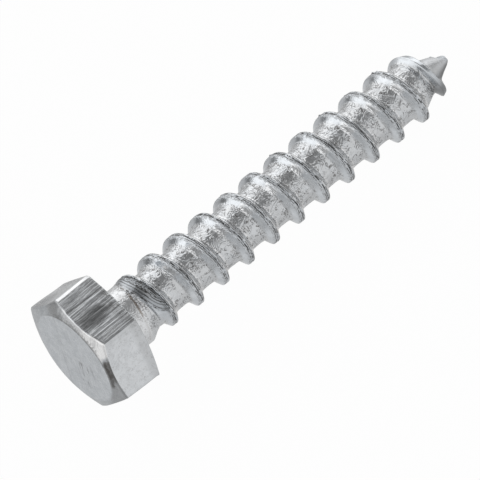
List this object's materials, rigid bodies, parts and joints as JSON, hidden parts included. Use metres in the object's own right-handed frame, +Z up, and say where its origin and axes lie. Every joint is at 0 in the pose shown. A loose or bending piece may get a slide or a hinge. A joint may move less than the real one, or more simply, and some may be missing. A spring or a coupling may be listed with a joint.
{
  "type": "hex head wood screw",
  "caption": "One-piece wood screw with a chamfered hexagonal head and a coarse right-hand thread along its whole shank, down to a conical point.",
  "frame": {"origin": "centre of the head's bearing face, on the screw's axis", "axes": "+X runs along the screw from the head to the point, which dips 3.34 degrees below level; +Z is up from the surface that the screw lies on, square to the flat of the head that faces up but for the same dip; +Y follows by the right-hand rule"},
  "size_m": [0.0555, 0.0148, 0.0133],
  "materials": {
    "zinc_plated_steel": "bright zinc plate on forged and rolled steel, satin on the head, rough and burnished on the thread"
  },
  "bodies": {
    "root": {"hex_wood_screw": "zinc_plated_steel"}
  },
  "joints": []
}
